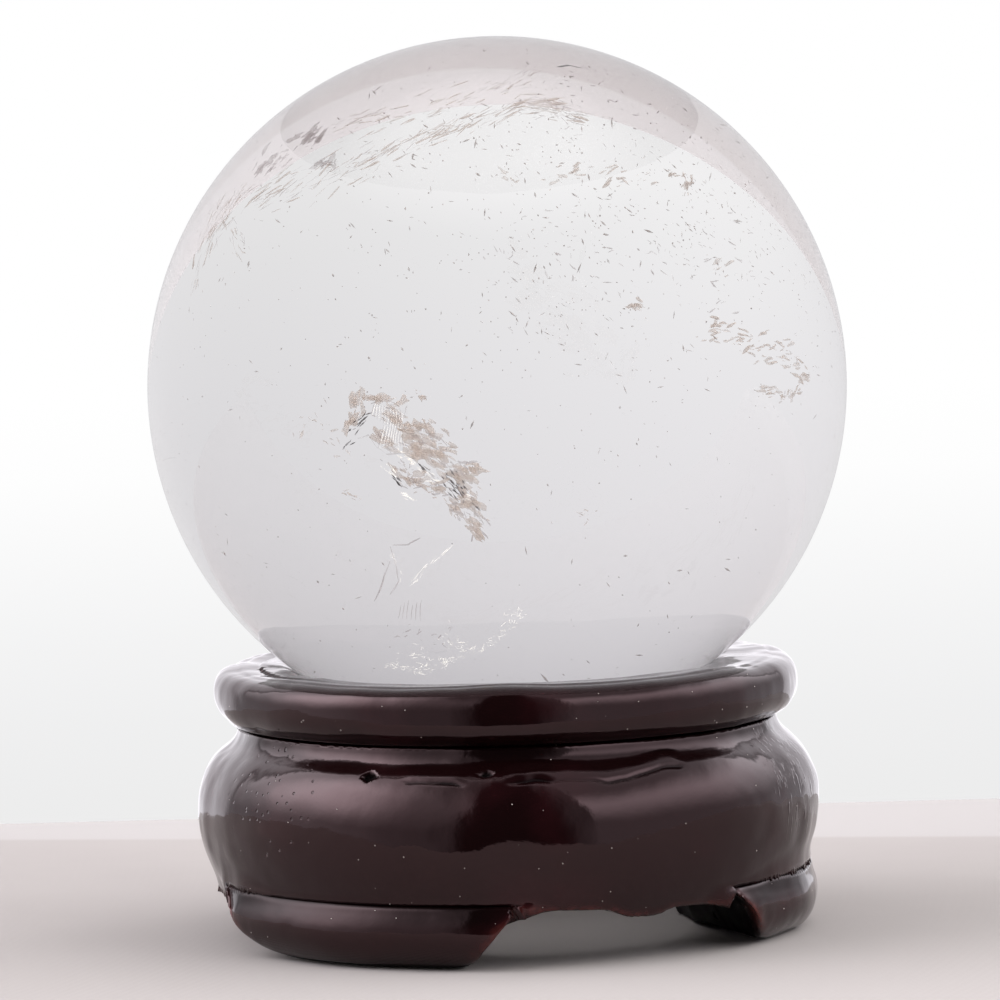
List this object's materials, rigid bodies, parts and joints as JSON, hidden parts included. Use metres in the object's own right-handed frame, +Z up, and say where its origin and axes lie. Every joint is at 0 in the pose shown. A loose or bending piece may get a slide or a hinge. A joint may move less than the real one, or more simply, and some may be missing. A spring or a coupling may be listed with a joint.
{
  "type": "crystal ball on stand",
  "caption": "Clear rock crystal ball resting loose in the ring of a low, hollow, round stand of dark lacquered wood with carved feet.",
  "frame": {"origin": "centre of the stand's footprint, on the surface that it stands on", "axes": "+Z up through the middle of the stand and the ball; -Y is the front, towards the open mouth between two feet"},
  "size_m": [0.08, 0.08, 0.1025],
  "materials": {
    "rock_crystal": "polished, clear with natural veils and fractures inside",
    "lacquered_wood": "thick gloss lacquer, dark oxblood brown",
    "bare_wood": "planed, unfinished"
  },
  "bodies": {
    "stand": {"seat_ring": "lacquered_wood", "drum": "lacquered_wood", "foot_left": "lacquered_wood", "foot_right": "lacquered_wood", "foot_back": "lacquered_wood", "dowel_left_a": "bare_wood", "dowel_left_b": "bare_wood", "dowel_right_a": "bare_wood", "dowel_right_b": "bare_wood", "dowel_back_a": "bare_wood", "dowel_back_b": "bare_wood"},
    "ball": {"crystal_ball": "rock_crystal"}
  },
  "joints": [
    {"name": "ball_lift", "type": "slide", "parent": "stand", "child": "ball", "axis": [0, 0, 1], "range_m": [0, 0.06]}
  ]
}
